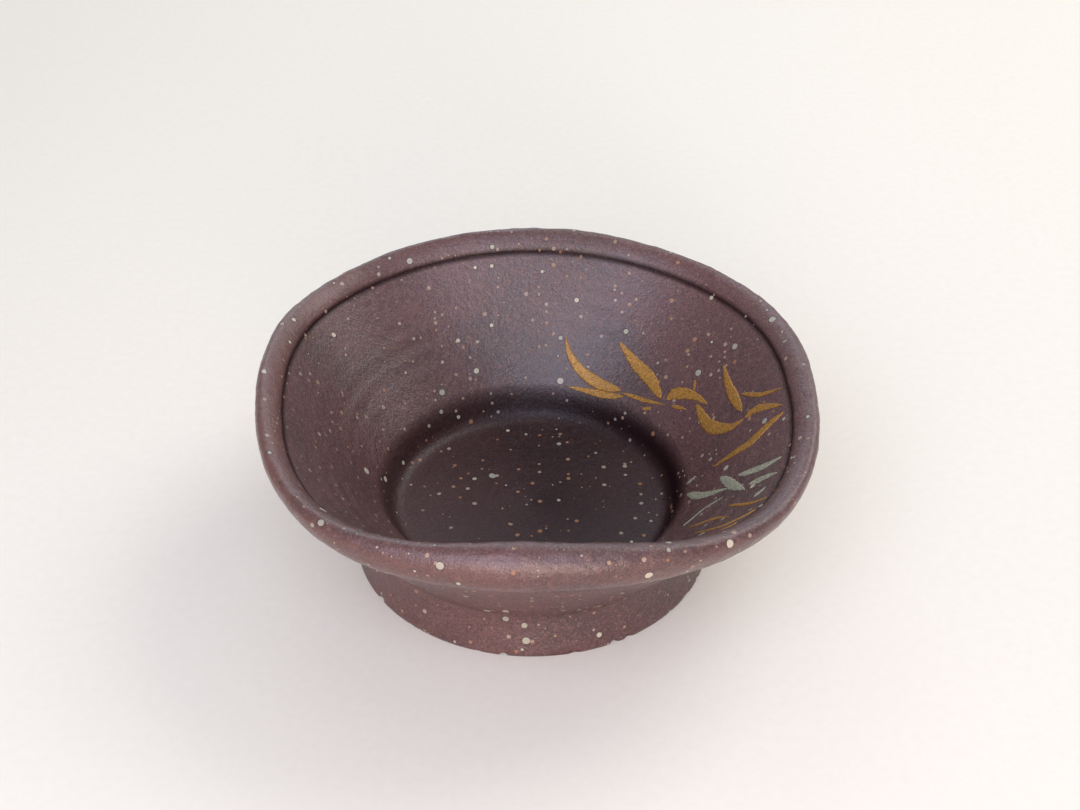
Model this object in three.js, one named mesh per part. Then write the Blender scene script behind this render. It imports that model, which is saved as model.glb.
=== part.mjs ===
// A small stoneware bowl: round foot, round sunken well, and a wall pressed unevenly to four soft sides.
// Inside its right wall lies a painted spray of bamboo grass in gold and silver.
// Millimetres, +Z up. The origin is on the table, under the middle of the bowl's outline.
import * as THREE from "three";

// Foot
const FOOT_BASE_R = 46.6;
const FOOT_BASE_ROUND = 0.6;
const WAIST_R = 44.5;
const WAIST_Z = 12;
const RECESS_R = 36;
const RECESS_DEPTH = 4;
const FOOT_SEAT_R = 38;
const FOOT_SEAT_Z = 10;

// Floor and well
const FLOOR_R = 35.3;
const FLOOR_Z = 11;
const WELL_LIP_R = 39.2;
const WELL_LIP_Z = 18.5;

// Wall: its length from the well's lip up to the crest, and its mean tilt above the level
const WALL_LENGTH = 45.1;
const WALL_TILT = 49.3;
const WALL_THICK = 5.6;
const WALL_THICK_BELOW = 6.4;
const WALL_THICK_IN_LIP = 4.2;

// Pressing: degrees of tilt added on the four sides, to the left, at the back, and at front and back alike
const PRESS_SIDES = 4.1;
const PRESS_LEFT = 3;
const PRESS_BACK = 0.8;
const PRESS_FRONT_AND_BACK = 2;

// Folded lip: its thickness in front, its drop down the outside and its crease down the inside
const LIP_THICK = 10.4;
const LIP_DROP = 11;
const CREASE_DROP = 6.8;
// Share of the fold's outward swell that is left away from the front, and the front's half width in degrees
const LIP_SWELL_AWAY = 0.32;
const LIP_FRONT_SPREAD = 34;
// Shares of the wall's length between which the swell sets in
const SWELL_STARTS = 0.3;
const SWELL_FULL = 0.65;
// The fold's section: outside as shares of its swell and drop, then inside as shares of wall and crease
const FOLD_OUTSIDE = [[0.87, 0.86], [1, 0.7], [0.92, 0.47], [0.7, 0.23], [0.38, 0.06]];
const FOLD_INSIDE = [[0.95, 0], [0.38, 0.09], [0, 0.34], [-0.11, 0.67]];

// Clearances
const JOINT_GAP = 0.3;
const PAINT_GAP = 0.3;

// Paint
const PAINT_THICK = 0.3;
const STROKE_TIP = 0.3;

const SEGMENTS = 72;
const STROKE_STEPS = 12;

const radians = THREE.MathUtils.degToRad;

const clay = () => new THREE.MeshStandardMaterial({ color: 0x53352f, roughness: 0.45, metalness: 0 });
const gold = () => new THREE.MeshStandardMaterial({ color: 0xb98a32, roughness: 0.4, metalness: 0.6 });
const silver = () => new THREE.MeshStandardMaterial({ color: 0x8a8a76, roughness: 0.5, metalness: 0.4 });

// The wall's tilt above the level at one angle round the bowl: steep on the sides, flat at the corners.
function tiltAt(angle) {
  const sides = PRESS_SIDES * Math.cos(4 * angle) - PRESS_FRONT_AND_BACK * Math.cos(2 * angle);
  const leans = PRESS_BACK * Math.sin(angle) - PRESS_LEFT * Math.cos(angle);
  return radians(WALL_TILT + sides + leans);
}

// How much of the fold's outward swell there is at one angle: all of it in front.
function swellAt(angle) {
  const fromFront = THREE.MathUtils.euclideanModulo(angle + 1.5 * Math.PI, 2 * Math.PI) - Math.PI;
  const front = Math.exp(-((fromFront / radians(LIP_FRONT_SPREAD)) ** 2));
  return LIP_SWELL_AWAY + (1 - LIP_SWELL_AWAY) * front;
}

// A point of the section at the mean tilt: how far out from the wall's inner face, and how far up it.
function upWall(across, along, tilt = radians(WALL_TILT)) {
  const r = WELL_LIP_R + along * Math.cos(tilt) + across * Math.sin(tilt);
  const z = WELL_LIP_Z + along * Math.sin(tilt) - across * Math.cos(tilt);
  return [r, z];
}

// Moves a point of the round bowl to its place in the pressed one.
function pressed(x, y, z) {
  const r = Math.hypot(x, y);
  const share = THREE.MathUtils.clamp((z - WAIST_Z) / (WELL_LIP_Z - WAIST_Z), 0, 1);
  if (share === 0 || r === 0) return [x, y, z];
  const angle = Math.atan2(y, x);
  const mean = radians(WALL_TILT);
  const dr = r - WELL_LIP_R;
  const dz = z - WELL_LIP_Z;
  const along = dr * Math.cos(mean) + dz * Math.sin(mean);
  let across = dr * Math.sin(mean) - dz * Math.cos(mean);
  const seat = WALL_THICK_IN_LIP + JOINT_GAP;
  const high = THREE.MathUtils.smoothstep(along / WALL_LENGTH, SWELL_STARTS, SWELL_FULL);
  if (across > seat) across = seat + (across - seat) * (1 + (swellAt(angle) - 1) * high);
  const [newR, newZ] = upWall(across, along, mean + share * (tiltAt(angle) - mean));
  return [newR * Math.cos(angle), newR * Math.sin(angle), newZ];
}

// Spins a profile of [radius, height] points round +Z and presses the result.
function turnedAndPressed(profile) {
  const points = profile.map(([r, z]) => new THREE.Vector2(r, z));
  const geometry = new THREE.LatheGeometry(points, SEGMENTS);
  geometry.rotateX(Math.PI / 2);
  const position = geometry.getAttribute("position");
  for (let i = 0; i < position.count; i++) {
    position.setXYZ(i, ...pressed(position.getX(i), position.getY(i), position.getZ(i)));
  }
  geometry.computeVertexNormals();
  return geometry;
}

function footRing() {
  const shoulderZ = RECESS_DEPTH - JOINT_GAP;
  const waistSlope = (FOOT_BASE_R - WAIST_R) / WAIST_Z;
  return turnedAndPressed([
    [RECESS_R, 0],
    [FOOT_BASE_R - FOOT_BASE_ROUND, 0],
    [FOOT_BASE_R, FOOT_BASE_ROUND],
    [FOOT_BASE_R - waistSlope * FOOT_SEAT_Z, FOOT_SEAT_Z],
    [FOOT_SEAT_R, FOOT_SEAT_Z],
    [FOOT_SEAT_R, shoulderZ],
    [RECESS_R, shoulderZ],
    [RECESS_R, 0],
  ]);
}

function bowlWall() {
  const slabR = FOOT_SEAT_R - JOINT_GAP;
  const waistSlope = (FOOT_BASE_R - WAIST_R) / WAIST_Z;
  const top = WALL_LENGTH - CREASE_DROP - 2 * JOINT_GAP;
  const lipFoot = WALL_LENGTH - LIP_DROP - JOINT_GAP;
  return turnedAndPressed([
    [0, RECESS_DEPTH],
    [slabR, RECESS_DEPTH],
    [slabR, FOOT_SEAT_Z],
    [FOOT_BASE_R - waistSlope * FOOT_SEAT_Z, FOOT_SEAT_Z],
    [WAIST_R, WAIST_Z],
    upWall(WALL_THICK_BELOW, lipFoot / 2),
    upWall(WALL_THICK, lipFoot - JOINT_GAP),
    upWall(WALL_THICK_IN_LIP, lipFoot),
    upWall(WALL_THICK_IN_LIP, top),
    upWall(0, top),
    upWall(0, WALL_LENGTH / 2),
    [WELL_LIP_R, WELL_LIP_Z],
    [(FLOOR_R + WELL_LIP_R) / 2, (FLOOR_Z + WELL_LIP_Z) / 2],
    [FLOOR_R, FLOOR_Z],
    [FLOOR_R / 2, FLOOR_Z],
    [0, FLOOR_Z],
  ]);
}

function rolledLip() {
  const seat = WALL_THICK_IN_LIP + JOINT_GAP;
  const top = WALL_LENGTH - CREASE_DROP - JOINT_GAP;
  const swell = LIP_THICK - WALL_THICK_IN_LIP;
  const outside = FOLD_OUTSIDE.map(([out, down]) => {
    return upWall(WALL_THICK_IN_LIP + swell * out, WALL_LENGTH - LIP_DROP * down);
  });
  const inside = FOLD_INSIDE.map(([out, down]) => {
    return upWall(WALL_THICK_IN_LIP * out, WALL_LENGTH - CREASE_DROP * down);
  });
  return turnedAndPressed([
    upWall(seat, top),
    upWall(seat, WALL_LENGTH - LIP_DROP),
    upWall(WALL_THICK, WALL_LENGTH - LIP_DROP),
    ...outside,
    ...inside,
    upWall(0, WALL_LENGTH - CREASE_DROP),
    upWall(0, top),
    upWall(seat, top),
  ]);
}

// A point on the inner wall: angle in degrees round the bowl, rise as a share of the wall's length.
function onWall(angle, rise) {
  const turn = radians(angle);
  const tilt = tiltAt(turn);
  const r = WELL_LIP_R + rise * WALL_LENGTH * Math.cos(tilt);
  const z = WELL_LIP_Z + rise * WALL_LENGTH * Math.sin(tilt);
  return new THREE.Vector3(r * Math.cos(turn), r * Math.sin(turn), z);
}

// The wall's normal, which points into the bowl.
function wallNormal(angle, rise) {
  const step = 0.01;
  const round = onWall(angle + 1, rise).sub(onWall(angle - 1, rise));
  const up = onWall(angle, rise + step).sub(onWall(angle, rise - step));
  return up.cross(round).normalize();
}

// One brush stroke, laid along [angle, rise] points: pointed at both ends, widest near the middle.
function stroke(points, width) {
  const line = new THREE.CatmullRomCurve3(points.map(([a, h]) => new THREE.Vector3(a, h * 100, 0)));
  const geometry = new THREE.BoxGeometry(1, 1, 1, STROKE_STEPS, 1, 1);
  const position = geometry.getAttribute("position");
  const at = (q) => {
    const p = line.getPoint(THREE.MathUtils.clamp(q, 0, 1));
    return [p.x, p.y / 100];
  };
  for (let i = 0; i < position.count; i++) {
    const q = position.getX(i) + 0.5;
    const [angle, rise] = at(q);
    const normal = wallNormal(angle, rise);
    const along = onWall(...at(q + 0.02)).sub(onWall(...at(q - 0.02))).normalize();
    const side = new THREE.Vector3().crossVectors(normal, along).normalize();
    const wide = STROKE_TIP + (width - STROKE_TIP) * Math.sin(Math.PI * q ** 0.8);
    const lift = PAINT_GAP + PAINT_THICK * (position.getZ(i) + 0.5);
    const point = onWall(angle, rise)
      .addScaledVector(side, position.getY(i) * wide)
      .addScaledVector(normal, lift);
    position.setXYZ(i, point.x, point.y, point.z);
  }
  geometry.computeVertexNormals();
  return geometry;
}

// Each stroke: its widest width, then its line as [degrees round the bowl, share up the wall].
const GOLD_STROKES = {
  gold_leaf_upper_left: [2.6, [[55, 0.095], [60, 0.085], [66, 0.095], [72, 0.14], [77, 0.23], [79, 0.33]]],
  gold_leaf_upper_mid: [2.6, [[39, 0.165], [47, 0.23], [55, 0.285], [62, 0.37]]],
  gold_leaf_low_left: [1.8, [[53, 0.066], [60, 0.034], [68, 0.028], [76, 0.03]]],
  gold_stem_left: [0.8, [[51, 0.088], [45, 0.1], [38, 0.132]]],
  gold_bud_low: [0.9, [[43, 0.05], [40, 0.085]]],
  gold_bud_mid: [1.0, [[33, 0.168], [27, 0.214]]],
  gold_leaf_middle: [1.8, [[36.5, 0.18], [35, 0.238], [29, 0.298], [21, 0.334]]],
  gold_leaf_curled: [2.0, [[25, 0.278], [16, 0.268], [10, 0.306], [5, 0.403], [3.7, 0.5]]],
  gold_leaf_tip: [1.6, [[3.7, 0.53], [3, 0.62], [-2.5, 0.78]]],
  gold_thorn: [0.7, [[32, 0.375], [29.5, 0.335]]],
  gold_leaf_rising: [2.0, [[9, 0.512], [13, 0.499], [20, 0.507], [27, 0.558]]],
  gold_stem_right: [0.8, [[13, 0.56], [7, 0.66], [3, 0.8]]],
  gold_leaf_long: [1.9, [[-5.5, 0.77], [-5.5, 0.67], [-7, 0.53], [-6.5, 0.38], [-6, 0.24]]],
  gold_grass_short: [1.0, [[-36, 0.246], [-35.5, 0.445], [-37.5, 0.6]]],
  gold_grass_upper: [1.0, [[-30.5, 0.49], [-33.5, 0.69], [-33.5, 0.82]]],
  gold_grass_long: [1.2, [[-42.5, 0.42], [-43, 0.64], [-40, 0.77], [-38, 0.82]]],
  gold_grass_end: [0.9, [[-47, 0.77], [-44, 0.82]]],
};

const SILVER_STROKES = {
  silver_leaf_upper: [1.4, [[-17.5, 0.47], [-19.5, 0.63], [-19.5, 0.78]]],
  silver_leaf_broad: [2.0, [[-13.5, 0.31], [-21, 0.44], [-25.5, 0.55]]],
  silver_twig_inner: [0.9, [[-4.5, 0.025], [-4, 0.1]]],
  silver_leaf_lower: [1.6, [[-11, 0.04], [-17.5, 0.18], [-21, 0.38]]],
  silver_leaf_right: [1.2, [[-24, 0.6], [-24.5, 0.78]]],
  silver_twig_outer: [0.9, [[-31, 0.687], [-28.5, 0.74]]],
  silver_stem: [0.8, [[-33, 0.163], [-27, 0.248], [-24.5, 0.387]]],
};

function mesh(name, geometry, material) {
  const made = new THREE.Mesh(geometry, material);
  made.name = name;
  return made;
}

function clayPieces() {
  const group = new THREE.Group();
  group.add(mesh("foot_ring", footRing(), clay()));
  group.add(mesh("bowl_wall", bowlWall(), clay()));
  group.add(mesh("rolled_lip", rolledLip(), clay()));
  return group;
}

function paintedSpray(strokes, paint) {
  const group = new THREE.Group();
  for (const [name, [width, points]] of Object.entries(strokes)) {
    group.add(mesh(name, stroke(points, width), paint()));
  }
  return group;
}

// The bowl about the foot's axis, moved so that the middle of its outline is over the origin.
const bowl = new THREE.Group();
bowl.add(clayPieces());
bowl.add(paintedSpray(GOLD_STROKES, gold));
bowl.add(paintedSpray(SILVER_STROKES, silver));
const middle = new THREE.Box3().setFromObject(bowl).getCenter(new THREE.Vector3());
bowl.position.set(-middle.x, -middle.y, 0);

const part = new THREE.Group();
part.add(bowl);

export default part;
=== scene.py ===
"""A square-pressed stoneware bowl with a painted spray of bamboo grass, on a pale floor.

Metres, +Z up, origin under the middle of the bowl's outline. Lengths in helpers are millimetres.
"""
import math

import bmesh
import bpy
from bpy.props import FloatProperty, FloatVectorProperty, PointerProperty
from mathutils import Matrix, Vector, noise


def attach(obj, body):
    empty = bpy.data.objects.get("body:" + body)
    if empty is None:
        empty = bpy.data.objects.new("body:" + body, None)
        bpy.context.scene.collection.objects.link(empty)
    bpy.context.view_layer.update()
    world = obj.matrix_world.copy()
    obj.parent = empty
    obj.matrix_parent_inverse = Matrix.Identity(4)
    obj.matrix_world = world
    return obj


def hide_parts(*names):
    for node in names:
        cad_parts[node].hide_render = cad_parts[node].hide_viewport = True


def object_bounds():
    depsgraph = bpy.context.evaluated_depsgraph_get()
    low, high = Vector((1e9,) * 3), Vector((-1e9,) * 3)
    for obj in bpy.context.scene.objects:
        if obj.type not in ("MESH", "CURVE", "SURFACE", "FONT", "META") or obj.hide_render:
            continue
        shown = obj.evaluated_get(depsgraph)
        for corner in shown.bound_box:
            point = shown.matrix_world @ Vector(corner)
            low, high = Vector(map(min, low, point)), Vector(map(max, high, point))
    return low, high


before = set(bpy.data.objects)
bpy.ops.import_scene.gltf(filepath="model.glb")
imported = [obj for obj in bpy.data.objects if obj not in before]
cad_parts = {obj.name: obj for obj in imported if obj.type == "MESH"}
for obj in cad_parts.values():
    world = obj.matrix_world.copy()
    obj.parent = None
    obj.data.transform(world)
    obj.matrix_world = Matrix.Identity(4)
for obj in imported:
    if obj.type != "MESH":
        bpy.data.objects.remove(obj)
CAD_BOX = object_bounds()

bl_info = {
    "name": "Pressed Stoneware Bowl",
    "version": (1, 0, 0),
    "blender": (4, 5, 0),
    "location": "View3D > Sidebar > Bowl",
    "description": "Builds a pressed stoneware bowl with gold and silver bamboo grass",
    "category": "Add Mesh",
}

MM = 0.001

# Photographed view: the lens, where the camera stands, and its turn up from looking straight down
CAMERA_LENS = 59.8
CAMERA_PLACE = (0.00038, -0.35897, 0.314)
CAMERA_TURN = math.radians(53)
NEAREST_SEEN = 0.01
LIGHTS_FACE = Vector((0, 0, 0.03))

# Mesh fineness, in millimetres where it is a length
STEPS_ROUND = 352
PROFILE_STEP = 1.05
MERGE_DISTANCE = 0.0005
STROKE_CUTS_ALONG = 47
STROKE_CUTS_ACROSS = 7
BOX_MARGIN = 0.02

# The foot's axis, in millimetres from the middle of the outline
AXIS_X = -1.65
AXIS_Y = 1.28

# The clay profile's places, in millimetres
RECESS_R = 36
RECESS_DEPTH = 4
CREST_OUT = 4

# Where the lip's thinning sets in, as shares of the wall's length, and the front's half width in degrees
THINNING_FROM = 0.3
THINNING_OVER = 0.35
FRONT_SPREAD = 30

# Hand-made unevenness of the wall: its twist, and how its length varies round the bowl
WALL_TWIST = math.radians(1.0)
LENGTH_MEAN = 0.996
LENGTH_LEFT = 0.008
LENGTH_DIAGONAL = 0.011
LENGTH_CORNERS = 0.006

# Places up the wall from the well's edge, in millimetres
LIP_UNDERSIDE = 33
CREASE = 38.3
LIP_MIDDLE = 43
LIP_REGION = 30
RIDGES_FROM = 1
RIDGES_TO = 37

# How far under the floor's height a point still counts as the floor, in millimetres
FLOOR_SLACK = 0.5

# Painted shade on the skin, in the well, on the floor, in the crease and under the lip: how far out it
# reaches, and half its widths
DARK_WELL_R = 40.5
DARK_WELL_HALF = 5.2
DARK_FLOOR_R = 36
DARK_FLOOR_HALF = 60
DARK_CREASE_HALF = 1.5
DARK_UNDERSIDE_HALF = 2.2
# The wall's inner skin is nearer to its inner face than this, and its outer skin is farther
INNER_SKIN = 1.6
OUTER_SKIN = 4

# Lumps of the surface: height in millimetres, then how often in a millimetre
CLAY_LUMPS = ((0.22, 0.06), (0.07, 0.25))
LIP_LUMPS = ((0.16, 0.35), (0.09, 0.9))

# Finger ridges: their middle and half width up the wall, and how uneven they are
WALL_RIDGES = (22, 20)
RIDGE_MEAN = 0.35
RIDGE_VARIES = 1.2
RIDGE_OFTEN = 0.05
# The floor's faint spiral: its middle and half width, its depth and spacing as shares of the wall's
FLOOR_RIDGES = (12, 14)
FLOOR_RIDGE_DEPTH = 0.5
FLOOR_RIDGE_SPACING = 0.8

# Chips along the foot's lower edge
CHIPS_BELOW = 1.5
CHIPS_OUTSIDE = 38
CHIP_OFTEN = 0.35
CHIP_PLACE = Vector((7, 0, 0))
CHIP_FROM = 0.2
CHIP_DEPTH = 2.0

# Paint: the stroke's tip, its crown over the clay and its root in it, in millimetres
STROKE_TIP = 0.15
PAINT_EDGE = 0.10
PAINT_CROWN = 0.08
PAINT_ROOT = 0.3
# The stroke's outline: where it is widest, and how ragged the brush left its sides
STROKE_SWELL = 0.8
STROKE_RAGGED = 0.22
RAGGED_OFTEN = 9
# Short steps over which directions are taken: along a stroke, and up the wall
STROKE_LOOK = 0.02
WALL_LOOK = 0.01

# The folded lip from its underside round to its crease: out from the crest, up from it, rounding
FOLD = [
    (2.4, -12.6, 0.8), (3.0, -10.9, 0.5), (5.4, -9.6, 0.8), (6.3, -7.8, 1.2), (6.1, -5.6, 2),
    (5.2, -3.4, 2), (3.5, -1.3, 2), (1.2, -0.1, 2), (-1.4, -0.1, 2), (-3.3, -1.2, 1.6),
    (-4.3, -3.2, 1.6), (-4.5, -5.4, 1), (-4.05, -6.6, 0.4), (-3.75, -6.85, 0.2), (-4.0, -7.6, 0.6),
]

# Each stroke: widest width in millimetres, then (degrees round the bowl, share up the wall)
GOLD_STROKES = {
    "gold_leaf_upper_left": (3.3, [(55, 0.095), (60, 0.085), (66, 0.095), (72, 0.14),
                                   (77, 0.23), (79, 0.33)]),
    "gold_leaf_upper_mid": (3.7, [(39, 0.165), (47, 0.23), (55, 0.285), (62, 0.37)]),
    "gold_leaf_low_left": (2.1, [(53, 0.066), (60, 0.034), (68, 0.028), (76, 0.03)]),
    "gold_stem_left": (1.2, [(54, 0.082), (45, 0.1), (36, 0.145)]),
    "gold_bud_low": (1.0, [(43, 0.05), (40, 0.085)]),
    "gold_bud_mid": (1.1, [(33, 0.168), (27, 0.214)]),
    "gold_leaf_middle": (3.4, [(36.5, 0.18), (35, 0.238), (29, 0.298), (21, 0.334)]),
    "gold_leaf_curled": (3.8, [(25, 0.278), (16, 0.268), (10, 0.306), (5, 0.403), (3.7, 0.51)]),
    "gold_leaf_tip": (2.4, [(3.7, 0.52), (3, 0.62), (-2.5, 0.79)]),
    "gold_thorn": (0.8, [(32, 0.375), (29.5, 0.325)]),
    "gold_leaf_rising": (3.0, [(7, 0.512), (13, 0.499), (20, 0.507), (27, 0.558)]),
    "gold_stem_right": (1.3, [(13, 0.55), (7, 0.66), (3, 0.81)]),
    "gold_leaf_long": (2.6, [(-5, 0.79), (-5.5, 0.67), (-7, 0.53), (-6.5, 0.38), (-6, 0.24)]),
    "gold_grass_short": (1.2, [(-36, 0.246), (-35.5, 0.445), (-37.5, 0.6)]),
    "gold_grass_upper": (1.2, [(-30.5, 0.49), (-33.5, 0.69), (-33.5, 0.82)]),
    "gold_grass_long": (1.4, [(-42.5, 0.42), (-43, 0.64), (-40, 0.77), (-38, 0.82)]),
    "gold_grass_end": (1.0, [(-47, 0.77), (-44, 0.82)]),
}
SILVER_STROKES = {
    "silver_leaf_upper": (2.2, [(-17.5, 0.46), (-19.5, 0.63), (-19.5, 0.79)]),
    "silver_leaf_broad": (2.9, [(-13.5, 0.31), (-21, 0.44), (-25.5, 0.56)]),
    "silver_twig_inner": (1.0, [(-4.5, 0.025), (-4, 0.1)]),
    "silver_leaf_lower": (2.5, [(-11, 0.04), (-17.5, 0.18), (-21, 0.39)]),
    "silver_leaf_right": (2.0, [(-24, 0.58), (-24.5, 0.79)]),
    "silver_twig_outer": (1.0, [(-31, 0.687), (-28.5, 0.75)]),
    "silver_stem": (0.9, [(-33, 0.163), (-27, 0.248), (-24.5, 0.387)]),
}


class BowlSizes(bpy.types.PropertyGroup):
    """Sizes of the clay, in metres unless a name says otherwise."""

    foot_base: FloatProperty(name="Foot base radius", description="Foot radius on the table",
                             default=0.0466, unit="LENGTH")
    waist: FloatProperty(name="Waist radius", description="Radius where the foot meets the wall",
                         default=0.0445, unit="LENGTH")
    waist_height: FloatProperty(name="Waist height", description="Height of the waist",
                                default=0.012, unit="LENGTH")
    floor: FloatProperty(name="Floor radius", description="Radius of the well's flat floor",
                         default=0.0353, unit="LENGTH")
    floor_height: FloatProperty(name="Floor height", description="Height of the well's floor",
                                default=0.011, unit="LENGTH")
    well_lip: FloatProperty(name="Well lip radius", description="Radius of the well's edge",
                            default=0.0392, unit="LENGTH")
    well_lip_height: FloatProperty(name="Well lip height", description="Height of the well's edge",
                                   default=0.0185, unit="LENGTH")
    wall_length: FloatProperty(name="Wall length", description="From the well's edge up to the crest",
                               default=0.0451, unit="LENGTH")
    wall_tilt: FloatProperty(name="Wall tilt", description="Tilt of the wall above the level",
                             default=math.radians(49.3), subtype="ANGLE")
    press_sides: FloatProperty(name="Press of sides", description="Tilt added at the four sides",
                               default=math.radians(4.1), subtype="ANGLE")
    press_left: FloatProperty(name="Press of left", description="Tilt added to the left",
                              default=math.radians(3), subtype="ANGLE")
    press_back: FloatProperty(name="Press of back", description="Tilt added at the back",
                              default=math.radians(0.8), subtype="ANGLE")
    press_ends: FloatProperty(name="Press of ends", description="Tilt added at front and back alike",
                              default=math.radians(2), subtype="ANGLE")
    lip_thin: FloatProperty(name="Lip away from front", description="Lip's thickness there, as a share",
                            default=0.55)
    ridge_spacing: FloatProperty(name="Ridge spacing", description="Between finger ridges of throwing",
                                 default=0.0055, unit="LENGTH")
    ridge_depth: FloatProperty(name="Ridge depth", description="Depth of the finger ridges",
                               default=0.0001, unit="LENGTH")


class BowlColours(bpy.types.PropertyGroup):
    """Colours of the clay and the paint, as sRGB values."""

    clay: FloatVectorProperty(name="Clay", description="Fired iron clay", subtype="COLOR_GAMMA",
                              default=(0.335, 0.205, 0.205))
    clay_red: FloatVectorProperty(name="Red clay", description="Where the kiln flashed it red",
                                  subtype="COLOR_GAMMA", default=(0.42, 0.24, 0.19))
    # Painted shade: the colour laid where shade falls in the well, the crease, under the lip and on the
    # floor
    clay_shade: FloatVectorProperty(name="Dark clay", description="Painted shade in hollows",
                                   subtype="COLOR_GAMMA", default=(0.09, 0.035, 0.05))
    gold: FloatVectorProperty(name="Gold", description="Gold paint", subtype="COLOR_GAMMA",
                              default=(0.74, 0.54, 0.24))
    silver: FloatVectorProperty(name="Silver", description="Silver paint", subtype="COLOR_GAMMA",
                                default=(0.68, 0.67, 0.56))


def linear(srgb):
    """Turns an sRGB colour, as a hex text or three values, to a linear colour with alpha."""
    if isinstance(srgb, str):
        srgb = [int(srgb[i:i + 2], 16) / 255 for i in (0, 2, 4)]
    return [c / 12.92 if c <= 0.04045 else ((c + 0.055) / 1.055) ** 2.4 for c in srgb] + [1.0]


def add_node(tree, kind, settings=None, links=None, **inputs):
    """Adds a node with its settings, its socket values and its incoming links."""
    node = tree.nodes.new(kind)
    for key, value in (settings or {}).items():
        setattr(node, key, value)
    for key, value in inputs.items():
        node.inputs[key.replace("_", " ")].default_value = value
    for key, source in (links or {}).items():
        tree.links.new(source, node.inputs[key])
    return node


def new_material(name):
    """A material with its tree and its surface node."""
    material = bpy.data.materials.new(name)
    material.use_nodes = True
    tree = material.node_tree
    return material, tree, tree.nodes["Principled BSDF"]


def in_millimetres(tree):
    """The object's own coordinates, in millimetres."""
    place = add_node(tree, "ShaderNodeTexCoord")
    return add_node(tree, "ShaderNodeMapping", links={"Vector": place.outputs["Object"]},
                    Scale=(1000, 1000, 1000)).outputs["Vector"]


def feed(tree, node, index, value):
    """Gives one input of a node a value, or a link where the value is a socket."""
    if hasattr(value, "is_output"):
        tree.links.new(value, node.inputs[index])
    else:
        node.inputs[index].default_value = value


def mix(tree, factor, low, high):
    """Mixes two colours, each a socket or a linear value."""
    node = add_node(tree, "ShaderNodeMix", {"data_type": "RGBA"})
    for index, value in ((0, factor), (6, low), (7, high)):
        feed(tree, node, index, value)
    return node.outputs[2]


def ramp(tree, source, low, high):
    """Turns a value into 0 at low and 1 at high."""
    return add_node(tree, "ShaderNodeMapRange", {"interpolation_type": "SMOOTHSTEP"},
                    {"Value": source}, From_Min=low, From_Max=high).outputs["Result"]


def maths(tree, operation, first, second):
    """Joins two values, each a socket or a number."""
    node = add_node(tree, "ShaderNodeMath", {"operation": operation})
    feed(tree, node, 0, first)
    feed(tree, node, 1, second)
    return node.outputs[0]


def scaled(tree, source, share):
    """A share of a value."""
    return maths(tree, "MULTIPLY", source, share)


def cloudy(tree, place, **inputs):
    """Soft noise; its scale is how often it turns in a millimetre."""
    return add_node(tree, "ShaderNodeTexNoise", links={"Vector": place}, **inputs).outputs["Fac"]


def grit(tree, place, spacing, reach, seed):
    """Grains of random size about spacing millimetres apart: how deep inside a grain, and its tone."""
    moved = add_node(tree, "ShaderNodeMapping", links={"Vector": place}, Location=(seed, seed * 2, 0))
    cells = add_node(tree, "ShaderNodeTexVoronoi", {"feature": "F1"},
                     {"Vector": moved.outputs["Vector"]}, Scale=1 / spacing)
    chance = add_node(tree, "ShaderNodeSeparateColor", links={"Color": cells.outputs["Color"]})
    size = scaled(tree, maths(tree, "POWER", chance.outputs["Red"], 3.0), reach)
    return maths(tree, "SUBTRACT", size, cells.outputs["Distance"]), chance.outputs["Green"]


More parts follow.
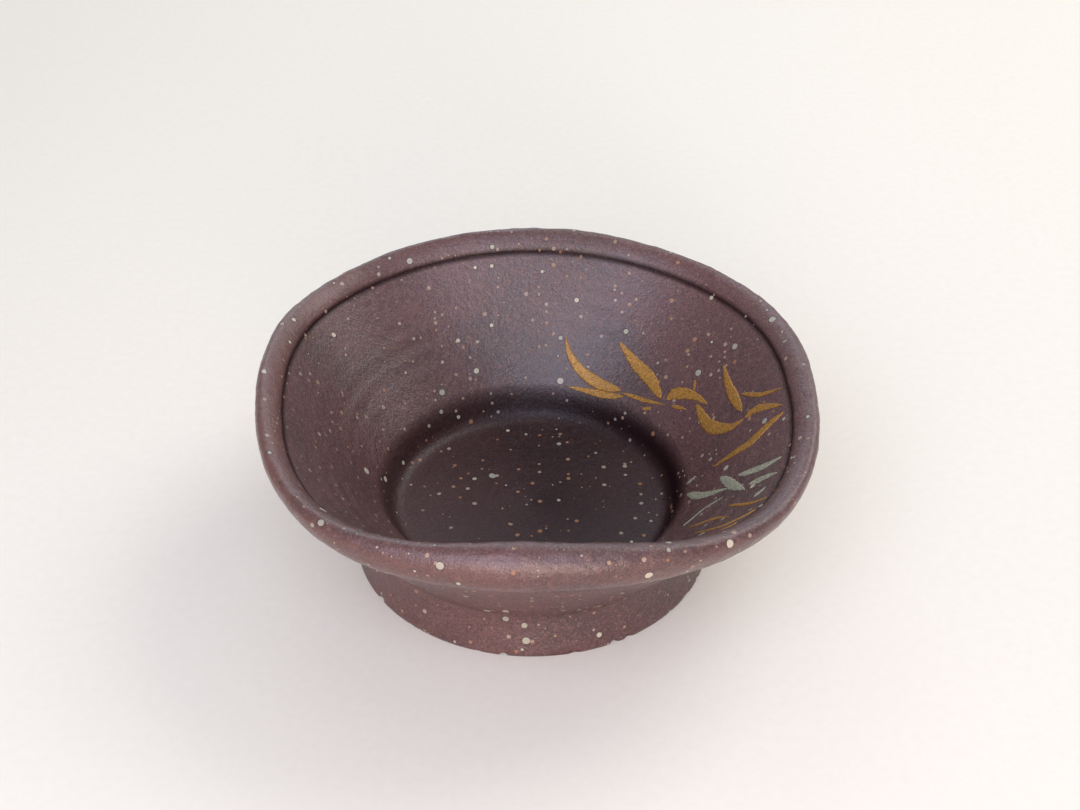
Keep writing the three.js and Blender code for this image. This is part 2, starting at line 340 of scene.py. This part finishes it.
def stoneware():
    """Reduction-fired iron stoneware: a dark purple-brown skin, half glossy where ash melted on it,
    finger ridges that catch the light, burst grains of pale feldspar, and painted shade in the well, the
    crease and under the lip."""
    colours = bpy.context.scene.bowl_colours
    material, tree, shader = new_material("reduction_fired_iron_stoneware")
    place = in_millimetres(tree)
    cloud = cloudy(tree, place, Scale=0.035, Detail=6.0, Roughness=0.62)
    mottle = cloudy(tree, place, Scale=0.55, Detail=5.0, Roughness=0.7)
    fine = cloudy(tree, place, Scale=1.9, Detail=4.0)
    red = add_node(tree, "ShaderNodeAttribute", {"attribute_name": "flashed_red"}).outputs["Fac"]
    # Painted shade, worked out per corner of the mesh: deepest in the well, then the crease, under the
    # lip and the floor
    dark = add_node(tree, "ShaderNodeAttribute", {"attribute_name": "painted_shade"}).outputs["Fac"]

    # The skin: dark clouds, brown mottling, pale and dark grain, the kiln's red flash and painted shade
    base = linear(colours.clay)
    for factor, colour in (
            (ramp(tree, cloud, 0.38, 0.68), "40292a"),
            (ramp(tree, mottle, 0.48, 0.75), "6a4740"),
            (scaled(tree, ramp(tree, fine, 0.52, 0.75), 0.6), "7a5c56"),
            (scaled(tree, ramp(tree, fine, 0.48, 0.3), 0.6), "1e1013"),
            (red, colours.clay_red),
            (dark, colours.clay_shade)):
        base = mix(tree, factor, base, linear(colour))

    # Large pale feldspar grains with burnt rims, and small rusty and pale ones
    large, large_tone = grit(tree, place, 4.6, 0.25, 3.0)
    small, small_tone = grit(tree, place, 1.9, 0.36, 11.0)
    large_grain = ramp(tree, large, 0.0, 0.035)
    small_grain = ramp(tree, small, 0.0, 0.035)
    pale = mix(tree, large_tone, linear("b9ad98"), linear("8b877b"))
    warm = mix(tree, small_tone, linear("94623c"), linear("a0968a"))
    base = mix(tree, scaled(tree, ramp(tree, large, -0.05, 0.0), 0.65), base, linear("1c1414"))
    base = mix(tree, scaled(tree, small_grain, 0.8), base, warm)
    base = mix(tree, large_grain, base, pale)
    tree.links.new(base, shader.inputs["Base Color"])

    # An uneven half gloss, duller where shade is painted
    rough = add_node(tree, "ShaderNodeMapRange", links={"Value": mottle},
                     From_Min=0.3, From_Max=0.7, To_Min=0.34, To_Max=0.56)
    tree.links.new(rough.outputs["Result"], shader.inputs["Roughness"])
    glossy = maths(tree, "SUBTRACT", 1.0, scaled(tree, dark, 0.95))
    tree.links.new(scaled(tree, glossy, 0.55), shader.inputs["Coat Weight"])
    tree.links.new(scaled(tree, glossy, 0.5), shader.inputs["Specular IOR Level"])
    shader.inputs["Coat Roughness"].default_value = 0.17
    shader.inputs["IOR"].default_value = 1.5

    # Pitted clay, with the grains standing proud
    height = scaled(tree, mottle, 0.5)
    for source, share in ((fine, 0.22), (large_grain, 0.35), (small_grain, 0.12)):
        height = maths(tree, "ADD", height, scaled(tree, source, share))
    bump = add_node(tree, "ShaderNodeBump", links={"Height": height}, Strength=0.85, Distance=0.0006)
    tree.links.new(bump.outputs["Normal"], shader.inputs["Normal"])
    tree.links.new(bump.outputs["Normal"], shader.inputs["Coat Normal"])
    return material


def metal_paint(name, colour, tarnish, worn, metallic):
    """Overglaze metal paint: metal flakes fired on by brush, thin and speckled where it has worn."""
    material, tree, shader = new_material(name)
    place = in_millimetres(tree)
    patch = cloudy(tree, place, Scale=1.1, Detail=5.0, Roughness=0.7)
    speck = cloudy(tree, place, Scale=4.5, Detail=3.0)
    base = mix(tree, ramp(tree, patch, 0.35, 0.7), linear(colour), linear(tarnish))
    base = mix(tree, scaled(tree, ramp(tree, speck, 0.47, 0.58), 0.75), base, linear(worn))
    tree.links.new(base, shader.inputs["Base Color"])
    rough = add_node(tree, "ShaderNodeMapRange", links={"Value": patch}, To_Min=0.3, To_Max=0.6)
    tree.links.new(rough.outputs["Result"], shader.inputs["Roughness"])
    bump = add_node(tree, "ShaderNodeBump", links={"Height": speck}, Strength=0.5, Distance=0.0001)
    tree.links.new(bump.outputs["Normal"], shader.inputs["Normal"])
    shader.inputs["Metallic"].default_value = metallic
    return material


def tilt_at(angle):
    """The wall's tilt at one angle: steep on the pressed sides, flatter at the corners."""
    sizes = bpy.context.scene.bowl_sizes
    sides = sizes.press_sides * math.cos(4 * angle) - sizes.press_ends * math.cos(2 * angle)
    leans = sizes.press_back * math.sin(angle) - sizes.press_left * math.cos(angle)
    return sizes.wall_tilt + sides + leans + WALL_TWIST * math.sin(4 * angle)


def length_at(angle):
    """The wall's length at one angle, as a share of its mean length."""
    return (LENGTH_MEAN - LENGTH_LEFT * math.cos(angle) + LENGTH_DIAGONAL * math.sin(2 * angle)
            - LENGTH_CORNERS * math.cos(4 * angle))


def thickness_at(angle):
    """The lip's thickness at one angle, as a share of its thickness in the middle of the front."""
    thin = bpy.context.scene.bowl_sizes.lip_thin
    from_front = (math.degrees(angle) + 270) % 360 - 180
    return thin + (1 - thin) * math.exp(-(from_front / FRONT_SPREAD) ** 2)


def from_hinge(up, out, tilt):
    """The radius and height of a point up a tilted wall from the well's edge, and out from its face."""
    sizes = bpy.context.scene.bowl_sizes
    r = sizes.well_lip / MM + up * math.cos(tilt) + out * math.sin(tilt)
    z = sizes.well_lip_height / MM + up * math.sin(tilt) - out * math.cos(tilt)
    return r, z


def up_and_out(r, z):
    """How far up the wall a point of the round section lies, and how far out from its inner face."""
    sizes = bpy.context.scene.bowl_sizes
    dr = r - sizes.well_lip / MM
    dz = z - sizes.well_lip_height / MM
    up = dr * math.cos(sizes.wall_tilt) + dz * math.sin(sizes.wall_tilt)
    out = dr * math.sin(sizes.wall_tilt) - dz * math.cos(sizes.wall_tilt)
    return up, out


def at_crest(out, up):
    """A point of the lip's section, out from the crest and up along the wall, as radius and height."""
    sizes = bpy.context.scene.bowl_sizes
    return from_hinge(sizes.wall_length / MM + up, CREST_OUT + out, sizes.wall_tilt)


def rounded(corners):
    """A line of points through corners, each (radius, height, rounding), with even steps."""
    line = []
    for i, (r, z, turn) in enumerate(corners):
        here = Vector((r, z))
        if turn == 0 or i in (0, len(corners) - 1):
            line.append(here)
            continue
        before = Vector(corners[i - 1][:2])
        after = Vector(corners[i + 1][:2])
        start = here + (before - here).normalized() * min(turn, (before - here).length * 0.48)
        end = here + (after - here).normalized() * min(turn, (after - here).length * 0.48)
        count = max(2, math.ceil(turn * 1.6 / PROFILE_STEP))
        for k in range(count + 1):
            t = k / count
            line.append(start * (1 - t) ** 2 + here * 2 * t * (1 - t) + end * t ** 2)
    fine = [line[0]]
    for point in line[1:]:
        gap = point - fine[-1]
        count = max(1, math.ceil(gap.length / PROFILE_STEP))
        last = fine[-1].copy()
        fine.extend(last + gap * (k + 1) / count for k in range(count))
    return fine


def clay_profile():
    """The bowl's section, from the middle of its underside round to the middle of its floor."""
    sizes = bpy.context.scene.bowl_sizes
    foot = sizes.foot_base / MM
    waist = sizes.waist / MM
    low = sizes.waist_height / MM
    return rounded([
        (0, RECESS_DEPTH, 0),
        (RECESS_R - 0.3, RECESS_DEPTH, 1.5),
        (RECESS_R, 0, 0.5),
        (foot - 0.1, 0, 0.9),
        (waist + 0.7, low * 0.55, 2),
        (waist, low, 1.6),
        (*at_crest(2.6, -27), 8),
        *((*at_crest(out, up), turn) for out, up, turn in FOLD),
        (*at_crest(-CREST_OUT, -23), 6),
        (sizes.well_lip / MM, sizes.well_lip_height / MM, 2.6),
        (sizes.floor / MM, sizes.floor_height / MM, 2.4),
        (0, sizes.floor_height / MM, 0),
    ])


def press(r, z, angle):
    """Thins the lip away from the front, and turns the wall about the well's edge as pressing did."""
    sizes = bpy.context.scene.bowl_sizes
    low = sizes.waist_height / MM
    share = min(1.0, max(0.0, (z - low) / (sizes.well_lip_height / MM - low)))
    up, out = up_and_out(r, z)
    high = min(1.0, max(0.0, (up / (sizes.wall_length / MM) - THINNING_FROM) / THINNING_OVER))
    high = high * high * (3 - 2 * high)
    out *= 1 + (thickness_at(angle) - 1) * high
    if up > 0:
        up *= 1 + (length_at(angle) - 1) * share
    return from_hinge(up, out, sizes.wall_tilt + share * (tilt_at(angle) - sizes.wall_tilt))


def bell(value, middle, half):
    """1 at the middle, falling smoothly to 0 at half the width away."""
    t = abs(value - middle) / half
    return 0.0 if t >= 1 else (1 - t * t) ** 2


def lumpy(at, lumps):
    """Smooth lumps of several sizes at one place."""
    return sum(height * noise.noise(at * often) for height, often in lumps)


def above_floor(z):
    """Whether a point of the section is on the bowl's upper side, if it is near its axis."""
    return z > bpy.context.scene.bowl_sizes.floor_height / MM - FLOOR_SLACK


def relief(r, z, angle, at):
    """How far the hand, the wheel and the kiln moved the surface outwards, in millimetres."""
    sizes = bpy.context.scene.bowl_sizes
    depth = sizes.ridge_depth / MM
    spacing = sizes.ridge_spacing / MM
    lumps = lumpy(at, CLAY_LUMPS)
    up, out = up_and_out(r, z)
    spiral = angle / math.tau
    if above_floor(z) and out < 1 and RIDGES_FROM < up < RIDGES_TO:
        uneven = max(0.0, RIDGE_MEAN + RIDGE_VARIES * noise.noise(at * RIDGE_OFTEN))
        depth *= uneven * bell(up, *WALL_RIDGES)
        return lumps * 0.7 + depth * math.sin(math.tau * (up / spacing + spiral))
    if above_floor(z) and r < sizes.floor / MM:
        depth *= FLOOR_RIDGE_DEPTH * bell(r, *FLOOR_RIDGES)
        spacing *= FLOOR_RIDGE_SPACING
        return lumps * 0.5 + depth * math.sin(math.tau * (r / spacing + spiral))
    if up > LIP_REGION:
        return lumps * 1.5 + lumpy(at, LIP_LUMPS)
    if z < CHIPS_BELOW and r > CHIPS_OUTSIDE:
        return -CHIP_DEPTH * max(0.0, noise.noise(at * CHIP_OFTEN + CHIP_PLACE) - CHIP_FROM)
    return lumps


def painted_shade(r, z, angle):
    """Painted shade on the skin: most in the well and the crease, less under the lip and on the floor.
    """
    sizes = bpy.context.scene.bowl_sizes
    up, out = up_and_out(r, z)
    middle = (sizes.floor_height + sizes.well_lip_height) / 2 / MM
    well = bell(z, middle, DARK_WELL_HALF) if r < DARK_WELL_R else 0.0
    # Painted shade in the well, a little deeper on its right side
    dark = 0.95 * well ** 0.5 * (0.85 + 0.15 * math.cos(angle))
    if r < DARK_FLOOR_R and above_floor(z):
        dark += 0.48 * (1.0 - well) * bell(r, 0, DARK_FLOOR_HALF)
    if out < INNER_SKIN:
        dark += 0.85 * bell(up, CREASE, DARK_CREASE_HALF)
    if out > OUTER_SKIN:
        dark += 0.6 * bell(up, LIP_UNDERSIDE, DARK_UNDERSIDE_HALF)
    return dark


def flashed_red(r, z, angle):
    """How far the kiln turned the clay red: most on the lip, and more on the left."""
    left = max(0.0, -math.cos(angle))
    up = up_and_out(r, z)[0]
    if up > LIP_REGION:
        return min(1.0, (0.4 * left ** 2 + 0.12) * bell(up, LIP_MIDDLE, 9))
    return 0.12 * left


def fired_clay_mesh():
    """Spins the section with bmesh, presses it to four sides and works its surface."""
    bm = bmesh.new()
    line = [bm.verts.new((p.x, 0, p.y)) for p in clay_profile()]
    edges = [bm.edges.new(pair) for pair in zip(line, line[1:])]
    bmesh.ops.spin(bm, geom=line + edges, cent=(0, 0, 0), axis=(0, 0, 1), dvec=(0, 0, 0),
                   angle=math.tau, steps=STEPS_ROUND, use_merge=True, use_duplicate=False)
    bmesh.ops.remove_doubles(bm, verts=bm.verts[:], dist=MERGE_DISTANCE)
    bmesh.ops.recalc_face_normals(bm, faces=bm.faces[:])
    bm.normal_update()
    red = bm.verts.layers.float.new("flashed_red")
    # Painted shade, kept per corner for the stoneware material
    dark = bm.verts.layers.float.new("painted_shade")
    limit = [c / MM - BOX_MARGIN for c in CAD_BOX[1]]
    for v in bm.verts:
        r = math.hypot(v.co.x, v.co.y)
        z = v.co.z
        angle = math.atan2(v.co.y, v.co.x)
        v[dark] = painted_shade(r, z, angle)
        v[red] = flashed_red(r, z, angle)
        moved = relief(r, z, angle, v.co.copy())
        level = math.hypot(v.normal.x, v.normal.y)
        outward = v.normal.x * v.co.x + v.normal.y * v.co.y > 0
        new_r, new_z = press(r + moved * (level if outward else -level), z + moved * v.normal.z, angle)
        v.co = (min(limit[0], max(-limit[0], AXIS_X + new_r * math.cos(angle))),
                min(limit[1], max(-limit[1], AXIS_Y + new_r * math.sin(angle))),
                min(limit[2], max(0.0, new_z)))
    return smooth_in_metres(bm)


def smooth_in_metres(bm):
    """Brings a mesh from millimetres to metres and shades it smooth."""
    bmesh.ops.scale(bm, vec=(MM, MM, MM), verts=bm.verts[:])
    for face in bm.faces:
        face.smooth = True
    bm.normal_update()
    return bm


def on_wall(angle, rise):
    """A point of the inner wall in millimetres: degrees round the bowl, share up the wall."""
    turn = math.radians(angle)
    up = rise * bpy.context.scene.bowl_sizes.wall_length / MM * length_at(turn)
    r, z = from_hinge(up, 0, tilt_at(turn))
    return Vector((AXIS_X + r * math.cos(turn), AXIS_Y + r * math.sin(turn), z))


def wall_normal(angle, rise):
    """The wall's normal, which points into the bowl."""
    around = on_wall(angle + 1, rise) - on_wall(angle - 1, rise)
    up = on_wall(angle, rise + WALL_LOOK) - on_wall(angle, rise - WALL_LOOK)
    return up.cross(around).normalized()


def along_line(points, q):
    """The place at share q of a smooth line through points."""
    q = min(1.0, max(0.0, q)) * (len(points) - 1)
    i = min(len(points) - 2, int(q))
    t = q - i
    a = Vector(points[max(0, i - 1)])
    b = Vector(points[i])
    c = Vector(points[i + 1])
    d = Vector(points[min(len(points) - 1, i + 2)])
    return 0.5 * ((2 * b) + (c - a) * t + (2 * a - 5 * b + 4 * c - d) * t * t
                  + (3 * b - a - 3 * c + d) * t ** 3)


def stroke_mesh(points, width):
    """One brush stroke: a box cut fine, drawn along its line and pressed to a low crown."""
    bm = bmesh.new()
    bmesh.ops.create_cube(bm, size=1)
    for axis, cuts in ((0, STROKE_CUTS_ALONG), (1, STROKE_CUTS_ACROSS)):
        runs = [e for e in bm.edges if abs((e.verts[0].co - e.verts[1].co)[axis]) > 0.5]
        bmesh.ops.subdivide_edges(bm, edges=runs, cuts=cuts, use_grid_fill=True)
    for v in bm.verts:
        q = v.co.x + 0.5
        side_share = v.co.y * 2
        angle, rise = along_line(points, q)
        normal = wall_normal(angle, rise)
        ahead = along_line(points, q + STROKE_LOOK)
        behind = along_line(points, q - STROKE_LOOK)
        along = (on_wall(*ahead) - on_wall(*behind)).normalized()
        side = normal.cross(along).normalized()
        ragged = 1 + STROKE_RAGGED * noise.noise(Vector((q * RAGGED_OFTEN, side_share, angle)))
        wide = STROKE_TIP + (width - STROKE_TIP) * math.sin(math.pi * q ** STROKE_SWELL) * ragged
        crown = PAINT_EDGE + PAINT_CROWN * (1 - side_share ** 2) if v.co.z > 0 else -PAINT_ROOT
        v.co = on_wall(angle, rise) + side * v.co.y * wide + normal * crown
    bmesh.ops.recalc_face_normals(bm, faces=bm.faces[:])
    return smooth_in_metres(bm)


def new_object(name, bm, material):
    """An object in the scene, made of a finished mesh and a material."""
    mesh = bpy.data.meshes.new(name)
    bm.to_mesh(mesh)
    bm.free()
    mesh.materials.append(material)
    made = bpy.data.objects.new(name, mesh)
    bpy.context.scene.collection.objects.link(made)
    return made


def finish_piece(name, bm, material, nodes):
    """Makes one piece, hangs it under the root body and hides the CAD nodes it stands for."""
    piece = new_object(name, bm, material)
    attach(piece, "root")
    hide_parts(*nodes)


def paint_strokes(strokes, paint):
    """Lays each stroke of one paint on the wall."""
    for name, (width, points) in strokes.items():
        finish_piece("painted_" + name, stroke_mesh(points, width), paint, [name])


class BOWL_OT_clay(bpy.types.Operator):
    """Make the fired clay: foot, wall and folded lip"""

    bl_idname = "bowl.clay"
    bl_label = "Fired Clay"

    def execute(self, context):
        finish_piece("fired_clay", fired_clay_mesh(), stoneware(),
                     ["foot_ring", "bowl_wall", "rolled_lip"])
        return {"FINISHED"}


class BOWL_OT_gold(bpy.types.Operator):
    """Paint the gold leaves, stems and grass"""

    bl_idname = "bowl.gold"
    bl_label = "Gold Strokes"

    def execute(self, context):
        colours = context.scene.bowl_colours
        paint = metal_paint("gold_overglaze_paint", colours.gold, "a9762c", "3f281c", 0.3)
        paint_strokes(GOLD_STROKES, paint)
        return {"FINISHED"}


class BOWL_OT_silver(bpy.types.Operator):
    """Paint the silver leaves and stem"""

    bl_idname = "bowl.silver"
    bl_label = "Silver Strokes"

    def execute(self, context):
        colours = context.scene.bowl_colours
        paint = metal_paint("silver_overglaze_paint", colours.silver, "9a9a8a", "403732", 0.15)
        paint_strokes(SILVER_STROKES, paint)
        return {"FINISHED"}


def add_light(name, place, size, power, colour):
    """A soft square light that faces the bowl."""
    data = bpy.data.lights.new(name, "AREA")
    data.size = size
    data.energy = power
    data.color = linear(colour)[:3]
    light = bpy.data.objects.new(name, data)
    light.location = place
    light.rotation_euler = (LIGHTS_FACE - Vector(place)).to_track_quat("-Z", "Y").to_euler()
    bpy.context.scene.collection.objects.link(light)


def pale_floor():
    """Matt warm-white paper with a faint cloud of fibre, under the bowl."""
    material, tree, shader = new_material("matt_paper_floor")
    fibre = cloudy(tree, in_millimetres(tree), Scale=0.4)
    tree.links.new(mix(tree, fibre, linear("e6dfd2"), linear("ece6da")), shader.inputs["Base Color"])
    shader.inputs["Roughness"].default_value = 0.9
    bm = bmesh.new()
    bmesh.ops.create_grid(bm, x_segments=1, y_segments=1, size=3)
    floor = new_object("pale_floor", bm, material)


def pale_world():
    """A soft even sky that lights the bowl, and the pale ground that is seen behind it."""
    world = bpy.data.worlds.new("studio")
    bpy.context.scene.world = world
    world.use_nodes = True
    tree = world.node_tree
    sky = tree.nodes["Background"]
    sky.inputs["Color"].default_value = linear("eef1f6")
    sky.inputs["Strength"].default_value = 0.55
    seen = add_node(tree, "ShaderNodeBackground", Color=linear("ece6da"), Strength=1.0)
    path = add_node(tree, "ShaderNodeLightPath")
    both = add_node(tree, "ShaderNodeMixShader", links={0: path.outputs["Is Camera Ray"],
                                                        1: sky.outputs[0], 2: seen.outputs[0]})
    tree.links.new(both.outputs[0], tree.nodes["World Output"].inputs["Surface"])


class BOWL_OT_stage(bpy.types.Operator):
    """Set the camera, the lights, the floor and the world"""

    bl_idname = "bowl.stage"
    bl_label = "Stage"

    def execute(self, context):
        data = bpy.data.cameras.new("camera")
        data.lens = CAMERA_LENS
        data.clip_start = NEAREST_SEEN
        camera = bpy.data.objects.new("camera", data)
        camera.location = CAMERA_PLACE
        camera.rotation_euler = (CAMERA_TURN, 0, 0)
        context.scene.collection.objects.link(camera)
        context.scene.camera = camera
        context.scene.view_settings.view_transform = "Standard"
        pale_floor()
        pale_world()
        add_light("window", (0.45, 0.35, 0.6), 0.5, 2.6, "ffffff")
        add_light("back_sky", (-0.1, 0.75, 0.45), 0.45, 1.2, "e6eeff")
        add_light("front_sky", (-0.16, -0.6, 0.56), 0.7, 5.5, "dde5ff")
        add_light("front_low", (0.05, -0.8, 0.16), 0.35, 4.2, "ffe2d2")
        return {"FINISHED"}


class BOWL_PT_panel(bpy.types.Panel):
    """Lists the bowl's pieces and sizes"""

    bl_idname = "BOWL_PT_panel"
    bl_label = "Pressed Bowl"
    bl_space_type = "VIEW_3D"
    bl_region_type = "UI"
    bl_category = "Bowl"

    def draw(self, context):
        for operator in OPERATORS:
            self.layout.operator(operator.bl_idname)
        for group in (context.scene.bowl_sizes, context.scene.bowl_colours):
            for key in group.__annotations__:
                self.layout.prop(group, key)


OPERATORS = (BOWL_OT_clay, BOWL_OT_gold, BOWL_OT_silver, BOWL_OT_stage)
CLASSES = (BowlSizes, BowlColours, *OPERATORS, BOWL_PT_panel)


def register():
    for cls in CLASSES:
        bpy.utils.register_class(cls)
    bpy.types.Scene.bowl_sizes = PointerProperty(type=BowlSizes)
    bpy.types.Scene.bowl_colours = PointerProperty(type=BowlColours)


def unregister():
    del bpy.types.Scene.bowl_colours
    del bpy.types.Scene.bowl_sizes
    for cls in reversed(CLASSES):
        bpy.utils.unregister_class(cls)


def main():
    register()
    bpy.ops.bowl.stage()
    bpy.ops.bowl.clay()
    bpy.ops.bowl.gold()
    bpy.ops.bowl.silver()


if __name__ == "__main__":
    main()
